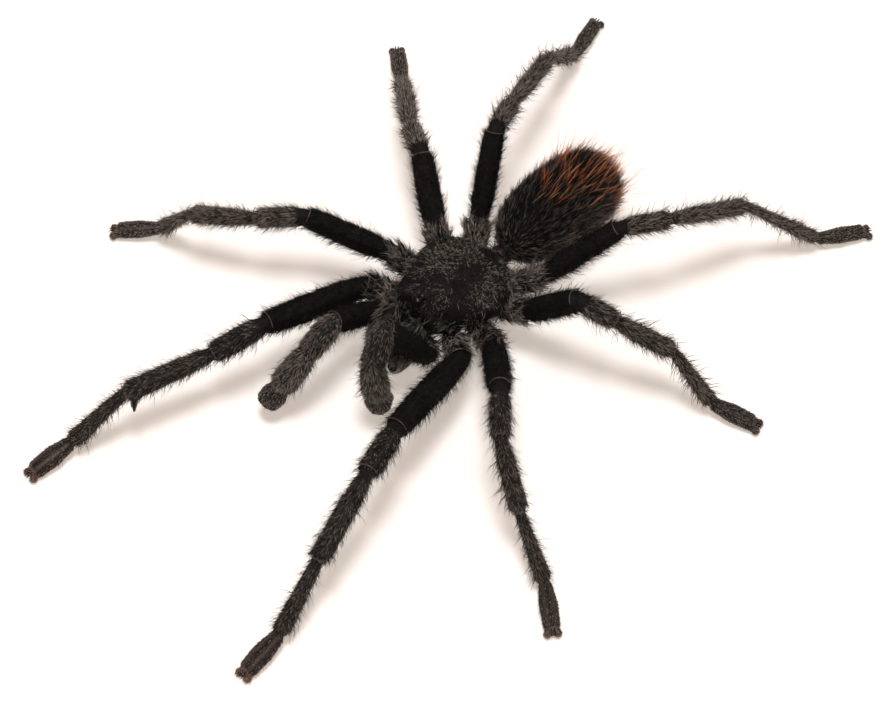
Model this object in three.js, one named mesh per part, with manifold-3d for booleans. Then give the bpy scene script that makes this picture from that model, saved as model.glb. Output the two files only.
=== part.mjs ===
// Dried tarantula specimen: an adult male, set as if walking, standing on its eight feet.
// Millimetres, +Z up, head towards -Y, the specimen's left side towards +X, floor at Z = 0.
// Every surface is the outer form of the dense fur; single hairs are finer than this model.
import * as THREE from "three";
import { mergeVertices } from "three/addons/utils/BufferGeometryUtils.js";
import { ParametricGeometry } from "three/addons/geometries/ParametricGeometry.js";
import Module from "manifold-3d";

const wasm = await Module();
wasm.setup();

// Driving dimensions of the body
const GAP = 0.3; // clearance between neighbouring pieces
const CARAPACE_FRONT = -9.4; // Y of the front edge, above the chelicerae
const CARAPACE_LENGTH = 17;
const CARAPACE_WIDTH = 15.8;
const CARAPACE_RIM = 9.7; // height of the edge above the floor
const HEAD_HEIGHT = 5.6; // rise of the head above that edge
const EYE_MOUND = { width: 2.6, length: 2, height: 1.2 };
const STERNUM = { width: 9, length: 14, under: 3.8 };
const ABDOMEN_LENGTH = 21.4;
const ABDOMEN_WIDTH = 13;
const ABDOMEN_HEIGHT = 11;
const ABDOMEN_MIDDLE = 9.3; // height of its axis above the floor
const WAIST_LENGTH = 1.6; // what shows of the pedicel
const CHELICERA = { width: 4, length: 7.4, top: 13.4, under: 5.2 };
const FANG_LENGTH = 6;
const SPINNERET_LENGTH = 2.6;

// Driving dimensions of the limbs
const TOE_HEIGHT = 1.15; // centre of a toe above the floor
const ANKLE_HEIGHT = 2.1; // centre of the joint between metatarsus and tarsus
const LEG_RADII = {
  coxa: 1.75,
  trochanter: 1.9,
  femur: 1.9,
  patella: 1.62,
  tibia: 1.45,
  metatarsus: 1.2,
  tarsus: 1.38,
};
const PALP_RADII = { coxa: 1.55, trochanter: 1.75, femur: 1.9, patella: 2, tibia: 2.15, tarsus: 1.9 };
const HOOK_LENGTH = 2;

// Each pair of limbs: where the coxa leaves the sternum, the hip, the length of each free segment, and
// how stout the limb is against the radii above
const LIMBS = {
  pedipalp: { root: [2.1, -8.2, 5.6], hip: [5.3, -11, 8.4], lengths: [9.5, 5.5, 7.5, 4], girth: 1 },
  leg_1: { root: [3.8, -5, 6.2], hip: [9.2, -9, 9], lengths: [17, 8.5, 13.5, 11.5, 7], girth: 1.08 },
  leg_2: { root: [4.5, -1.3, 6.2], hip: [10.6, -3, 9], lengths: [14, 7.5, 10.5, 10.5, 7], girth: 0.98 },
  leg_3: { root: [4.4, 2.5, 6.2], hip: [9.6, 4.6, 8.6], lengths: [11.5, 6, 9.5, 11, 7], girth: 1 },
  leg_4: { root: [3.1, 5.9, 6.2], hip: [6.6, 10.3, 8.2], lengths: [14.5, 7.5, 13, 16.5, 8], girth: 0.92 },
};

// How each limb was set, in degrees: the bearing of each free segment from the limb's own side, turning
// towards the tail, and its lift above level. Metatarsus and tarsus reach down to the floor by themselves.
// The swing is how far, in millimetres, the hip was pushed towards the tail.
const POSES = {
  pedipalp_left: { bearings: [-130, -62, 60, 60], lifts: [52, -16, -86, -84] },
  pedipalp_right: { bearings: [-89, -98, -73, -71], lifts: [32, -12, -54, -50] },
  leg_1_left: { swing: 0.8, bearings: [-76, -69, -75, -78, -84], lifts: [14, 8, -23] },
  leg_1_right: { swing: -0.6, bearings: [-80, -74, -72, -71, -87], lifts: [13, -13, -6] },
  leg_2_left: { bearings: [-40, -43, -24, -17, -35], lifts: [32, -6, -40] },
  leg_2_right: { bearings: [-35, -43, -31, -15, -45], lifts: [24, -10, -16] },
  leg_3_left: { bearings: [19, 26, 30, 18, 21], lifts: [47, -23, -25] },
  leg_3_right: { bearings: [31, 26, 37, 39, 36], lifts: [27, -7, -22] },
  leg_4_left: { bearings: [58, 61, 71, 56, 62], lifts: [40, -3, -17] },
  leg_4_right: { bearings: [59, 64, 70, 68, 70], lifts: [54, -20, -15] },
};

// Outlines of the limb segments: share of the length, then share of the radius. Each end is round and
// runs a little into its neighbour, so that the limb narrows at its joints.
const OUTLINES = {
  coxa: [[-0.08, 0], [-0.05, 0.6], [0.3, 0.95], [1, 1], [1.2, 0]],
  trochanter: [[-0.4, 0], [-0.2, 0.8], [0.3, 1], [0.9, 0.98], [1.35, 0]],
  femur: [[-0.1, 0], [-0.04, 0.7], [0.25, 1], [0.75, 0.98], [0.97, 0.88], [1.07, 0]],
  patella: [[-0.18, 0], [-0.05, 0.74], [0.25, 1], [0.92, 0.96], [1.12, 0]],
  tibia: [[-0.09, 0], [-0.02, 0.74], [0.3, 0.96], [0.93, 1.02], [1.08, 0]],
  metatarsus: [[-0.08, 0], [0, 0.76], [0.5, 0.92], [0.93, 1.08], [1.05, 0]],
  tarsus: [[-0.08, 0], [0.02, 0.76], [0.45, 1.04], [0.9, 0.95], [1.04, 0]],
};
const HOOK_OUTLINE = [[0, 0], [0, 1], [0.6, 0.85], [1, 0]];
const ROUND = [1, 1];
// Breadth and depth against the radius where a segment is not round
const SECTIONS = { metatarsus: [1.06, 0.96], tarsus: [1.08, 1.12] };
const LIMB_SIDES = 8;
const HOOK_SIDES = 6;

const UP = new THREE.Vector3(0, 0, 1);
const SIDES = { left: 1, right: -1 };

const matt = (color, roughness) => new THREE.MeshStandardMaterial({ color, roughness, metalness: 0 });
const MATERIALS = {
  carapace: matt(0x2b2d29, 0.8),
  sternum: matt(0x1a1716, 0.9),
  pedicel: matt(0x3a201a, 0.7),
  abdomen: matt(0x1d1916, 0.95),
  limb: matt(0x201d1b, 0.9),
  fang: matt(0x0d0a0a, 0.25),
  spinneret: matt(0x2a2320, 0.9),
};

// A closed geometry as a solid that can be joined and cut
function solidOf(geometry) {
  const bare = geometry.clone();
  for (const name of Object.keys(bare.attributes)) {
    if (name !== "position") bare.deleteAttribute(name);
  }
  const merged = mergeVertices(bare, 1e-4);
  const corners = Array.from(merged.index.array);
  const faces = [];
  for (let i = 0; i < corners.length; i += 3) {
    const [a, b, c] = corners.slice(i, i + 3);
    if (a !== b && b !== c && c !== a) faces.push(a, b, c);
  }
  const vertProperties = merged.attributes.position.array;
  const wound = (triVerts) =>
    new wasm.Manifold(new wasm.Mesh({ numProp: 3, vertProperties, triVerts: Uint32Array.from(triVerts) }));
  const solid = wound(faces);
  return solid.volume() > 0 ? solid : wound(faces.reverse());
}

const joined = (solids) => solids.reduce((all, next) => all.add(next));

// A solid as a named mesh
function piece(name, solid, look) {
  const { vertProperties, triVerts } = solid.getMesh();
  const geometry = new THREE.BufferGeometry();
  geometry.setAttribute("position", new THREE.BufferAttribute(vertProperties, 3));
  geometry.setIndex(new THREE.BufferAttribute(triVerts, 1));
  geometry.computeVertexNormals();
  const mesh = new THREE.Mesh(geometry, look);
  mesh.name = name;
  return mesh;
}

function ellipsoid(centre, halfSizes, sides, rings) {
  const ball = new THREE.SphereGeometry(1, sides, rings);
  ball.rotateX(Math.PI / 2);
  ball.scale(...halfSizes);
  ball.translate(...centre);
  return solidOf(ball);
}

// A body lofted along Y through stations [y, half width, top, edge, underside], the last three being
// heights. It closes to a point at its first and last station, and grow moves its surface outwards.
function loft(stations, sides, rings, grow = 0) {
  const curveOf = (k) => new THREE.SplineCurve(stations.map((s) => new THREE.Vector2(s[0], s[k])));
  const [width, top, edge, under] = [1, 2, 3, 4].map(curveOf);
  const surface = (u, v, target) => {
    const turn = u * 2 * Math.PI;
    const { x: y, y: middle } = edge.getPoint(v);
    target.set(0, y + (2 * v - 1) * grow, middle);
    if (v <= 0 || v >= 1) return;
    const high = Math.sin(turn) > 0 ? top.getPoint(v).y - middle : middle - under.getPoint(v).y;
    target.x = (width.getPoint(v).y + grow) * Math.cos(turn);
    target.z += (high + grow) * Math.sin(turn);
  };
  return solidOf(new ParametricGeometry(surface, sides, rings));
}

// A tapering body along a curve that lies in a plane of constant X
function taper(curve, radiusAt, sides, rings) {
  const across = new THREE.Vector3(1, 0, 0);
  const surface = (u, v, target) => {
    const turn = u * 2 * Math.PI;
    const other = curve.getTangent(v).cross(across);
    target.copy(curve.getPoint(v));
    target.addScaledVector(across, radiusAt(v) * Math.cos(turn));
    target.addScaledVector(other, radiusAt(v) * Math.sin(turn));
  };
  return solidOf(new ParametricGeometry(surface, sides, rings));
}

// A turned form from one joint to the next, its section scaled to [breadth, depth]
function segment(from, to, radius, outline, section = ROUND, sides = LIMB_SIDES, grow = 0) {
  const along = to.clone().sub(from);
  const length = along.length();
  const point = ([share, width]) =>
    new THREE.Vector2(width > 0 ? width * radius + grow : 0, share * length + (2 * share - 1) * grow);
  const turned = new THREE.LatheGeometry(outline.map(point), sides);
  turned.scale(section[0], 1, section[1]);
  const direction = along.normalize();
  const across = direction.clone().cross(UP).normalize();
  const placed = new THREE.Matrix4().makeBasis(across, direction, across.clone().cross(direction));
  turned.applyMatrix4(placed.setPosition(from));
  return solidOf(turned);
}

const onSide = ([x, y, z], side) => new THREE.Vector3(x * SIDES[side], y, z);

const hipOf = ({ hip: [x, y, z] }, { swing = 0 }, side) => onSide([x, y + swing, z], side);

// The joint centres of a limb, from the hip outwards
function limbJoints(limb, pose, side) {
  const joints = [hipOf(limb, pose, side)];
  const standing = { 3: ANKLE_HEIGHT, 4: TOE_HEIGHT };
  limb.lengths.forEach((length, i) => {
    const last = joints[i];
    const lift =
      i < pose.lifts.length
        ? THREE.MathUtils.degToRad(pose.lifts[i])
        : Math.asin((standing[i] - last.z) / length);
    const bearing = THREE.MathUtils.degToRad(pose.bearings[i]);
    const level = length * Math.cos(lift);
    const step = [level * Math.cos(bearing), level * Math.sin(bearing), length * Math.sin(lift)];
    joints.push(last.clone().add(onSide(step, side)));
  });
  return joints;
}

// Coxa and trochanter, from the sternum out to the hip
function hipSegments(name, radii, side, grow = 0) {
  const limb = LIMBS[name];
  const root = onSide(limb.root, side);
  const hip = hipOf(limb, POSES[`${name}_${side}`], side);
  const middle = root.clone().lerp(hip, 0.68);
  return joined([
    segment(root, middle, radii.coxa, OUTLINES.coxa, ROUND, LIMB_SIDES, grow),
    segment(middle, hip, radii.trochanter, OUTLINES.trochanter, ROUND, LIMB_SIDES, grow),
  ]);
}

function freeSegments(joints, kinds, radii, girth) {
  const make = (kind, i) =>
    segment(joints[i], joints[i + 1], radii[kind] * girth, OUTLINES[kind], SECTIONS[kind]);
  return joined(kinds.map(make));
}

// The two claw tufts at the end of a leg
function clawTufts(ankle, toe) {
  const direction = toe.clone().sub(ankle).normalize();
  const across = direction.clone().cross(UP).normalize();
  const spread = LEG_RADII.tarsus * 0.55;
  const halfSize = LEG_RADII.tarsus * 0.62;
  const tuft = (hand) => {
    const centre = toe.clone().addScaledVector(across, spread * hand).addScaledVector(direction, 0.2);
    return ellipsoid([centre.x, centre.y, halfSize * 0.85], [halfSize, halfSize, halfSize], 6, 4);
  };
  return tuft(-1).add(tuft(1));
}

// The pair of mating hooks under the far end of a first leg's tibia, on the side of the other first leg
function tibialHooks(knee, ankle, side) {
  const direction = ankle.clone().sub(knee).normalize();
  const across = direction.clone().cross(UP).normalize();
  const down = direction.clone().cross(across).normalize();
  const hook = (inward) => {
    const lean = across.clone().multiplyScalar(inward * SIDES[side]).add(down).normalize();
    const from = knee.clone().lerp(ankle, 0.9).addScaledVector(lean, LEG_RADII.tibia * 0.6);
    const to = from.clone().addScaledVector(lean, HOOK_LENGTH).addScaledVector(direction, HOOK_LENGTH / 2);
    return segment(from, to, HOOK_LENGTH / 4, HOOK_OUTLINE, ROUND, HOOK_SIDES);
  };
  return hook(0.3).add(hook(1.1));
}

// The male's pear-shaped bulb, folded under the tarsus of a pedipalp, with its thin spine
function palpBulb(knuckle, tip) {
  const direction = tip.clone().sub(knuckle).normalize();
  const back = new THREE.Vector3(1, 0, 0).cross(direction).normalize();
  const centre = tip.clone().addScaledVector(direction, -1).addScaledVector(back, 1.4);
  const end = centre.clone().addScaledVector(direction, -3.2).addScaledVector(back, 0.6);
  return ellipsoid(centre.toArray(), [1.1, 1.1, 1.1], 6, 4).add(
    segment(centre, end, 0.8, HOOK_OUTLINE, ROUND, HOOK_SIDES),
  );
}

function leg(number, side) {
  const name = `leg_${number}`;
  const limb = LIMBS[name];
  const joints = limbJoints(limb, POSES[`${name}_${side}`], side);
  const kinds = ["femur", "patella", "tibia", "metatarsus", "tarsus"];
  const parts = [
    hipSegments(name, LEG_RADII, side),
    freeSegments(joints, kinds, LEG_RADII, limb.girth),
    clawTufts(joints[4], joints[5]),
  ];
  if (number === 1) parts.push(tibialHooks(joints[2], joints[3], side));
  return joined(parts);
}

function pedipalp(side) {
  const limb = LIMBS.pedipalp;
  const joints = limbJoints(limb, POSES[`pedipalp_${side}`], side);
  const kinds = ["femur", "patella", "tibia", "tarsus"];
  return joined([
    hipSegments("pedipalp", PALP_RADII, side),
    freeSegments(joints, kinds, PALP_RADII, limb.girth),
    palpBulb(joints[3], joints[4]),
  ]);
}

// The shield on the back, with the eye mound at its front and the pit at its middle
function carapace(grow = 0) {
  const half = CARAPACE_WIDTH / 2;
  const rim = CARAPACE_RIM;
  const at = (share) => CARAPACE_FRONT + share * CARAPACE_LENGTH;
  const station = (share, width, rise, lip, drop) =>
    [at(share), half * width, rim + HEAD_HEIGHT * rise, rim + lip, rim + lip - drop];
  const shield = loft(
    [
      station(0, 0, 0.6, 2.4, 0),
      station(0.02, 0.5, 0.8, 1.6, 1.4),
      station(0.12, 0.59, 1, 0.9, 1.6),
      station(0.3, 0.84, 1, 0.3, 1.5),
      station(0.52, 0.99, 0.9, 0, 1.4),
      station(0.72, 0.97, 0.74, 0, 1.3),
      station(0.9, 0.68, 0.46, 0, 1.1),
      station(0.98, 0.3, 0.2, 0, 0.8),
      station(1, 0, 0, 0, 0),
    ],
    16,
    16,
    grow,
  );
  if (grow > 0) return shield;
  const { width, length, height } = EYE_MOUND;
  const mound = ellipsoid([0, at(0.07), rim + HEAD_HEIGHT], [width / 2, length / 2, height], 9, 5);
  const pit = ellipsoid([0, at(0.64), rim + HEAD_HEIGHT * 0.82], [1.3, 0.45, 0.9], 8, 4);
  return shield.add(mound).subtract(pit);
}

// The plate of the chest between the coxae
function sternum(grow = 0) {
  const depth = CARAPACE_RIM - 1 - STERNUM.under;
  const centre = [0, CARAPACE_FRONT + CARAPACE_LENGTH * 0.5, STERNUM.under + depth / 2];
  const halfSizes = [STERNUM.width / 2, STERNUM.length / 2, depth / 2].map((size) => size + grow);
  return ellipsoid(centre, halfSizes, 12, 7);
}

// A chelicera, the stout jaw in front of the head
function chelicera(side, grow = 0) {
  const back = CARAPACE_FRONT + 1.6;
  const front = back - CHELICERA.length;
  const { width, top, under } = CHELICERA;
  const at = (share) => front + share * (back - front);
  const middle = (top + under) / 2;
  const station = (share, wide, high, low) =>
    [at(share), (wide * width) / 2, middle + (top - middle) * high, middle - 0.6 + share, under + low];
  const lobe = loft(
    [
      station(0, 0, -0.15, 2.9),
      station(0.05, 0.5, 0.25, 0.8),
      station(0.3, 0.94, 0.68, 0),
      station(0.7, 1, 0.98, 0.6),
      station(0.93, 0.7, 0.9, 1.6),
      station(1, 0, 0, 3.6),
    ],
    12,
    8,
    grow,
  );
  return lobe.translate([(SIDES[side] * (width + GAP)) / 2, 0, 0]);
}

// A fang, folded back under its chelicera
function fang(side) {
  const x = (SIDES[side] * (CHELICERA.width + GAP)) / 2;
  const front = CARAPACE_FRONT + 2.2 - CHELICERA.length;
  const low = CHELICERA.under - 1.9;
  const curve = new THREE.QuadraticBezierCurve3(
    new THREE.Vector3(x, front, low + 2.6),
    new THREE.Vector3(x, front - 0.3, low),
    new THREE.Vector3(x, front + FANG_LENGTH * 0.8, low + 0.2),
  );
  return taper(curve, (v) => (v > 0 && v < 1 ? 0.85 * Math.sqrt(1 - v * 0.96) : 0), 6, 6);
}

const abdomenFront = CARAPACE_FRONT + CARAPACE_LENGTH + WAIST_LENGTH;

function abdomen(grow = 0) {
  const half = ABDOMEN_WIDTH / 2;
  const tall = ABDOMEN_HEIGHT / 2;
  const station = (share, width, rise, drop, lip = 0) => [
    abdomenFront + share * ABDOMEN_LENGTH,
    half * width,
    ABDOMEN_MIDDLE + tall * rise,
    ABDOMEN_MIDDLE + lip,
    ABDOMEN_MIDDLE - tall * drop,
  ];
  return loft(
    [
      station(0, 0, -0.1, 0.1, -0.5),
      station(0.03, 0.42, 0.5, 0.5, -0.3),
      station(0.2, 0.84, 0.9, 0.86),
      station(0.5, 1, 1.05, 0.98),
      station(0.78, 0.92, 0.98, 0.86),
      station(0.95, 0.58, 0.62, 0.45, 0.4),
      station(1, 0, 0.2, -0.2, 1.1),
    ],
    18,
    12,
    grow,
  );
}

// The narrow waist between the carapace and the abdomen
function pedicel() {
  const reach = WAIST_LENGTH + 2.4;
  return ellipsoid([0, abdomenFront - WAIST_LENGTH / 2, ABDOMEN_MIDDLE - 0.8], [1.7, reach / 2, 1.5], 8, 5);
}

// A spinneret, pointing back below the end of the abdomen
function spinneret(side) {
  const from = new THREE.Vector3(SIDES[side] * 1.2, abdomenFront + ABDOMEN_LENGTH * 0.9, ABDOMEN_MIDDLE - 3.6);
  const to = from.clone().add(new THREE.Vector3(SIDES[side] * 0.7, SPINNERET_LENGTH, 0));
  return segment(from, to, 0.6, [[0, 0], [0.02, 0.9], [0.5, 1], [0.9, 0.6], [1, 0]], ROUND, 7);
}

// Everything under the floor's surface, to cut the soles of the feet flat
function underfloor() {
  const slab = new THREE.BoxGeometry(300, 300, 20);
  slab.translate(0, 0, -10);
  return solidOf(slab);
}

function build() {
  const specimen = new THREE.Group();
  const add = (name, solid, look) => specimen.add(piece(name, solid, look));
  const floor = underfloor();
  const shieldSpace = carapace(GAP);
  const trunkSpace = sternum(GAP).add(shieldSpace);
  const abdomenSpace = abdomen(GAP);

  add("carapace", carapace(), MATERIALS.carapace);
  add("sternum", sternum().subtract(shieldSpace), MATERIALS.sternum);
  add("abdomen", abdomen(), MATERIALS.abdomen);
  add("pedicel", pedicel().subtract(trunkSpace).subtract(abdomenSpace), MATERIALS.pedicel);
  for (const side of Object.keys(SIDES)) {
    add(`chelicera_${side}`, chelicera(side).subtract(trunkSpace), MATERIALS.limb);
    add(`fang_${side}`, fang(side).subtract(chelicera(side, GAP)).subtract(trunkSpace), MATERIALS.fang);
    add(`spinneret_${side}`, spinneret(side).subtract(abdomenSpace), MATERIALS.spinneret);
    const palp = pedipalp(side).subtract(trunkSpace).subtract(chelicera(side, GAP)).subtract(floor);
    add(`pedipalp_${side}`, palp, MATERIALS.limb);
    let neighbour = hipSegments("pedipalp", PALP_RADII, side, GAP);
    for (const number of [1, 2, 3, 4]) {
      const solid = leg(number, side).subtract(trunkSpace).subtract(neighbour).subtract(floor);
      add(`leg_${number}_${side}`, solid, MATERIALS.limb);
      neighbour = hipSegments(`leg_${number}`, LEG_RADII, side, GAP);
    }
  }

  const box = new THREE.Box3().setFromObject(specimen);
  const centre = box.getCenter(new THREE.Vector3());
  specimen.position.set(-centre.x, -centre.y, -box.min.z);
  return specimen;
}

export default build();
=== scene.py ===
"""Dried tarantula specimen: skin, fur, eyes, fangs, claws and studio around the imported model."""
import math
from typing import NamedTuple

import bpy
import numpy as np
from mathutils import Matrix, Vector


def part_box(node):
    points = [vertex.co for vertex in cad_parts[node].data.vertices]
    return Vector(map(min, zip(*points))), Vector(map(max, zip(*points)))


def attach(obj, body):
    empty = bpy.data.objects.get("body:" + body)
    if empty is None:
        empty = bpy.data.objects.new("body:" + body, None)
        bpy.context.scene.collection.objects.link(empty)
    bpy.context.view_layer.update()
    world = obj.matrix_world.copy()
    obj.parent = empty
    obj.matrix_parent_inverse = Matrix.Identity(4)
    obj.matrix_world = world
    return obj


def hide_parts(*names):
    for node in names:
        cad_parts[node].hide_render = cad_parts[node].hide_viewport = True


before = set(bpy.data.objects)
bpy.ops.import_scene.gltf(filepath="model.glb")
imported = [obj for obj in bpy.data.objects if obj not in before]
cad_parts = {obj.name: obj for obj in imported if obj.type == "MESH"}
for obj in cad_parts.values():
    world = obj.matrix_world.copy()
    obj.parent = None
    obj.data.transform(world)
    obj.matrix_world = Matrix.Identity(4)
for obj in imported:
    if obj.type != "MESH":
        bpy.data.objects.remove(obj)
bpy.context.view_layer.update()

bl_info = {
    "name": "Tarantula specimen",
    "version": (1, 0, 0),
    "blender": (4, 5, 0),
    "location": "View3D > Sidebar > Specimen",
    "description": "Dresses the packed solids of a dried tarantula with skin, fur, eyes, fangs and claws",
    "category": "Object",
}

BODY = "root"
MM = 0.001
UP = np.array([0.0, 0.0, 1.0])
SIDES = {"left": 1, "right": -1}
HAIR_MAP = "OFBake"
SKIN_MARKS = ("membrane", "bald", "fade")

# Places on the body, in mm, head towards -Y, measured from the middle of the carapace's axis
CARAPACE_FRONT = -9.4
PIT = np.array([0.0, 1.5, 14.0])
EYE_MOUND = np.array([0.0, -8.2, 15.3])
EYE_MOUND_SIZE = np.array([1.3, 1.0, 1.2])
FANG_PATHS = {
    side: [(2.15 * sign, -14.6, 5.9), (2.15 * sign, -14.9, 3.3), (2.15 * sign, -9.8, 3.5)]
    for side, sign in SIDES.items()
}

# Each pair of limbs, in mm, as in the solids: where the coxa starts, the hip, the lengths of the free
# segments, and their girth against the usual radii
LIMBS = {
    "pedipalp": ((2.1, -8.2, 5.6), (5.3, -11, 8.4), (9.5, 5.5, 7.5, 4), 1),
    "leg_1": ((3.8, -5, 6.2), (9.2, -9, 9), (17, 8.5, 13.5, 11.5, 7), 1.08),
    "leg_2": ((4.5, -1.3, 6.2), (10.6, -3, 9), (14, 7.5, 10.5, 10.5, 7), 0.98),
    "leg_3": ((4.4, 2.5, 6.2), (9.6, 4.6, 8.6), (11.5, 6, 9.5, 11, 7), 1),
    "leg_4": ((3.1, 5.9, 6.2), (6.6, 10.3, 8.2), (14.5, 7.5, 13, 16.5, 8), 0.92),
}
# How each limb is set: how far its hip is moved back in mm, then its segments' bearings from the limb's
# own side and their lifts above level, in degrees. The rest of a leg reaches down to where it stands
POSES = {
    "pedipalp_left": (0, (-130, -62, 60, 60), (52, -16, -86, -84)),
    "pedipalp_right": (0, (-89, -98, -73, -71), (32, -12, -54, -50)),
    "leg_1_left": (0.8, (-76, -69, -75, -78, -84), (14, 8, -23)),
    "leg_1_right": (-0.6, (-80, -74, -72, -71, -87), (13, -13, -6)),
    "leg_2_left": (0, (-40, -43, -24, -17, -35), (32, -6, -40)),
    "leg_2_right": (0, (-35, -43, -31, -15, -45), (24, -10, -16)),
    "leg_3_left": (0, (19, 26, 30, 18, 21), (47, -23, -25)),
    "leg_3_right": (0, (31, 26, 37, 39, 36), (27, -7, -22)),
    "leg_4_left": (0, (58, 61, 71, 56, 62), (40, -3, -17)),
    "leg_4_right": (0, (59, 64, 70, 68, 70), (54, -20, -15)),
}
STANDING = {3: 2.1, 4: 1.15}  # heights of the ankle and the toe in mm, by segment
HIP_SHARE = 0.68  # of the way from the coxa's start to the hip, where the trochanter starts
LEG_KINDS = ("coxa", "trochanter", "femur", "patella", "tibia", "metatarsus", "tarsus")
PALP_KINDS = ("coxa", "trochanter", "femur", "patella", "tibia", "tarsus")
LEG_RADII = (1.75, 1.9, 1.9, 1.62, 1.45, 1.2, 1.38)
PALP_RADII = (1.55, 1.75, 1.9, 2, 2.15, 1.9)

# Fur of each limb segment: length against the coat's own, shade of the hairs from black to pale, and the
# share of pale hairs among them
SEGMENT_FUR = {
    "coxa": (1.0, 0.3, 0.4),
    "trochanter": (0.95, 0.32, 0.45),
    "femur": (0.85, 0.14, 0.0),
    "patella": (0.85, 0.25, 0.3),
    "tibia": (0.85, 0.3, 0.4),
    "metatarsus": (0.7, 0.33, 0.45),
    "tarsus": (0.45, 0.33, 0.4),
    "tuft": (0.34, 0.5, 0.0),
    "bulb": (0.0, 0.0, 0.0),
    "hook": (0.0, 0.0, 0.0),
}
# How much paler and greyer some limbs' hairs are made: a painted sheen for the light those limbs catch from
# above
PAINTED_SHEEN = {
    "pedipalp_left": 1.9,
    "pedipalp_right": 2.5,
    "leg_1_left": 1.2,
    "leg_1_right": 1.3,
    "leg_2_left": 1.5,
    "leg_2_right": 2.8,
    "leg_3_right": 3.3,
    "leg_4_right": 2.8,
    "leg_4_left": 2.7,
    "leg_3_left": 2.1,
}
# How bare the two stripes along the top of the feet are
BARENESS = {"pedipalp": 0.15, "leg_1": 1.0, "leg_2": 0.8, "leg_3": 0.35, "leg_4": 0.35}
SPINY = ("leg_3_left", "leg_4_left", "leg_4_right")
HIPS = ("coxa", "trochanter")
SHAFTS = ("patella", "tibia", "metatarsus")
HAIRLESS = ("bulb", "hook")
# Hairs paler than this shade are stouter by this factor
PALE, STOUT = 0.38, 1.25


class Coat(NamedTuple):
    """One class of hairs."""

    density: float  # how many stand on a square mm
    length: tuple  # the shortest and the longest, in mm
    lift: tuple  # from the skin, in degrees
    width: float  # at the root, in mm
    steps: int = 1  # straight steps in each hair
    bend: tuple = (0, 0)  # how far they curl back to the skin
    stray: float = 0.2  # from the way the fur lies
    wave: float = 0.02  # in the curl
    clump: tuple = (1, 0)  # how wide clumps are in mm, and how strongly their tips draw together
    alike: float = 0  # share of the hairs that have their clump's shade


def linear(code):
    """An sRGB hex colour as linear red, green, blue and alpha."""
    shares = [int(code[i : i + 2], 16) / 255 for i in (0, 2, 4)]
    return (*[s / 12.92 if s <= 0.04045 else ((s + 0.055) / 1.055) ** 2.4 for s in shares], 1.0)


def colour(code, label, use):
    """A colour setting whose default is a hex value."""
    return bpy.props.FloatVectorProperty(
        name=label, description=use, default=linear(code)[:3], subtype="COLOR", size=3, min=0, max=1
    )


def size(millimetres, label, use):
    """A length setting whose default is in millimetres."""
    return bpy.props.FloatProperty(
        name=label, description=use, default=millimetres * MM, unit="LENGTH", subtype="DISTANCE", min=0
    )


def amount(value, label, use):
    """A plain number setting."""
    return bpy.props.FloatProperty(name=label, description=use, default=value, min=0)


class SPECIMEN_PG_fur(bpy.types.PropertyGroup):
    """Sizes and densities of the fur."""

    depth: size(0.16, "Fur depth", "How far the skin lies under the outline of the dense fur")
    short: size(0.9, "Short hair", "Length of the dense short hairs on the limbs")
    guard: size(1.7, "Guard hair", "Length of the thin guard hairs on the limbs")
    bristle: size(3.0, "Bristle", "Length of the long bristles on the limbs")
    plume: size(5.2, "Plume", "Length of the russet hairs on the rear of the abdomen")
    thickness: size(0.09, "Hair thickness", "Thickness of a short hair at its root")
    limb_density: amount(21, "Limb hairs", "Short hairs per square millimetre of limb")
    body_density: amount(33, "Body hairs", "Short hairs per square millimetre of carapace")
    abdomen_density: amount(22, "Abdomen hairs", "Short hairs per square millimetre of abdomen")


class SPECIMEN_PG_colours(bpy.types.PropertyGroup):
    """Colours of hair, skin and bare parts."""

    black: colour("060505", "Black", "The velvety black hairs")
    brown: colour("25211F", "Brown-black", "The usual hairs of the outer limb segments")
    grey: colour("757068", "Grey", "The greyed hairs on the limbs")
    tan: colour("C4B9AF", "Tan", "The palest hairs on the limbs")
    # The grey-green is the carapace hairs' own pale colour; the body hair brightens it further for a painted
    # highlight
    moss: colour("8D8F80", "Grey-green", "The sparkling short hairs on the carapace")
    russet: colour("DC652A", "Russet", "The long hairs on the rear of the abdomen")
    orange: colour("FFB884", "Orange", "The tips of those hairs")
    cuticle: colour("5C483E", "Cuticle", "The bare stripes on top of the feet")
    membrane: colour("4A2A20", "Membrane", "The dried soft skin at the joints")
    horn: colour("0B0808", "Horn", "Fangs, claws and hooks")
    bulb: colour("3A1710", "Bulb", "The bare bulbs under the palps")


class SPECIMEN_PG_studio(bpy.types.PropertyGroup):
    """Camera, floor and light."""

    azimuth: amount(47, "Azimuth", "Degrees round the specimen from its head")
    elevation: amount(58, "Elevation", "Degrees above the floor")
    distance: size(355, "Distance", "From the camera to the point it looks at")
    lens: amount(100, "Lens", "Focal length in millimetres on a 36 mm sensor")
    key: amount(0.62, "Key light", "What the overhead light adds to the floor's brightness")
    fill: amount(0.27, "Fill light", "What the light from all round adds")
    glow: amount(0.45, "Glow", "What light coming through the paper adds, as on a light table")
    floor: colour("F4F2F1", "Floor", "The paper that it stands on")
    lamp: colour("FFF4EA", "Lamp", "The warm light that comes through the paper")
    room: colour("FFE4D2", "Room", "The warm light from all round")


# Small tools


def unit(vectors):
    """Vectors of length one."""
    return vectors / np.maximum(np.linalg.norm(vectors, axis=-1, keepdims=True), 1e-9)


def flat_on(vectors, normals):
    """What is left of the vectors along the surface."""
    return vectors - normals * np.sum(vectors * normals, axis=1, keepdims=True)


def frame_shift():
    """What takes a place on the body, in mm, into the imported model's frame."""
    low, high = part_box("carapace")
    return np.array([(low.x + high.x) / 2 / MM, low.y / MM - CARAPACE_FRONT, 0.0])


def placed(point):
    """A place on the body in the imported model's frame, in mm."""
    return np.asarray(point, float) + frame_shift()


def metres(point):
    """A place on the body as Blender's own vector."""
    return Vector(placed(point) * MM)


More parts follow.
